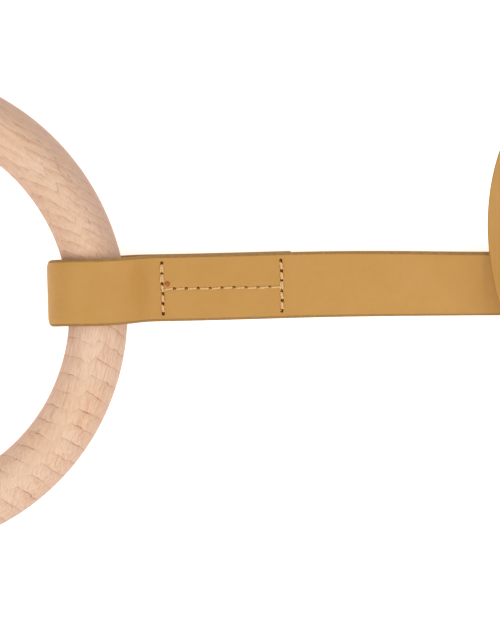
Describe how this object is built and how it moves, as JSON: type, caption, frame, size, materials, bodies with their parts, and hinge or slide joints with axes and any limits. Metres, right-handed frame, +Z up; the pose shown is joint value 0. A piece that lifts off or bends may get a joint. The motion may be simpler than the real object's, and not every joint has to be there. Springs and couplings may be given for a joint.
{
  "type": "gymnastics rings",
  "caption": "Pair of round wooden hanging rings, each in the sewn loop of a flat leather-look strap that is loosely coiled and ends in a swivel snap hook.",
  "frame": {"origin": "on the floor under the middle of the whole pair", "axes": "+Z up from the floor, +X from the rings along the straps to the hooks, +Y from the second set to the first"},
  "size_m": [0.7798, 0.5548, 0.0378],
  "materials": {
    "wood": "matt sanded beech, unlacquered",
    "leather": "matt smooth ochre faux leather with brown cut edges",
    "thread": "waxed twisted polyester thread",
    "steel": "satin nickel plated"
  },
  "bodies": {
    "strap_1": {"strap_loop_1": "leather", "strap_run_1": "leather", "strap_coil_1": "leather", "strap_tail_1": "leather", "ring_thread_top_1": "thread", "ring_thread_under_1": "thread", "hook_thread_top_1": "thread", "hook_thread_under_1": "thread"},
    "ring_1": {"ring_1": "wood"},
    "eye_1": {"swivel_eye_1": "steel"},
    "hook_1": {"hook_body_1": "steel", "gate_pin_1": "steel", "gate_spring_1": "steel"},
    "gate_1": {"hook_gate_1": "steel"},
    "strap_2": {"strap_loop_2": "leather", "strap_run_2": "leather", "strap_coil_2": "leather", "strap_tail_2": "leather", "ring_thread_top_2": "thread", "ring_thread_under_2": "thread", "hook_thread_top_2": "thread", "hook_thread_under_2": "thread"},
    "ring_2": {"ring_2": "wood"},
    "eye_2": {"swivel_eye_2": "steel"},
    "hook_2": {"hook_body_2": "steel", "gate_pin_2": "steel", "gate_spring_2": "steel"},
    "gate_2": {"hook_gate_2": "steel"}
  },
  "joints": [
    {"name": "ring_swing_1", "type": "hinge", "parent": "strap_1", "child": "ring_1", "pos_m": [-0.16968, 0.14895, 0.0189], "axis": [0, 1, 0], "range_deg": [-90, 90]},
    {"name": "eye_swing_1", "type": "hinge", "parent": "strap_1", "child": "eye_1", "pos_m": [0.32802, 0.07521, 0.007], "axis": [0, 1, 0], "range_deg": [-80, 80]},
    {"name": "hook_swivel_1", "type": "hinge", "parent": "eye_1", "child": "hook_1", "pos_m": [0.34102, 0.07521, 0.007], "axis": [1, 0, 0], "continuous": true},
    {"name": "gate_open_1", "type": "hinge", "parent": "hook_1", "child": "gate_1", "pos_m": [0.35602, 0.08271, 0.007], "axis": [0, 0, -1], "range_deg": [0, 28], "stiffness_Nm_per_rad": 0.05, "springref_deg": -28.65},
    {"name": "ring_swing_2", "type": "hinge", "parent": "strap_2", "child": "ring_2", "pos_m": [-0.16968, -0.15105, 0.0189], "axis": [0, 1, 0], "range_deg": [-90, 90]},
    {"name": "eye_swing_2", "type": "hinge", "parent": "strap_2", "child": "eye_2", "pos_m": [0.32802, -0.22479, 0.007], "axis": [0, 1, 0], "range_deg": [-80, 80]},
    {"name": "hook_swivel_2", "type": "hinge", "parent": "eye_2", "child": "hook_2", "pos_m": [0.34102, -0.22479, 0.007], "axis": [1, 0, 0], "continuous": true},
    {"name": "gate_open_2", "type": "hinge", "parent": "hook_2", "child": "gate_2", "pos_m": [0.35602, -0.21729, 0.007], "axis": [0, 0, -1], "range_deg": [0, 28], "stiffness_Nm_per_rad": 0.05, "springref_deg": -28.65},
    {"name": "second_set_apart", "type": "slide", "parent": "strap_1", "child": "strap_2", "axis": [0, -1, 0], "range_m": [0, 0.3]}
  ]
}
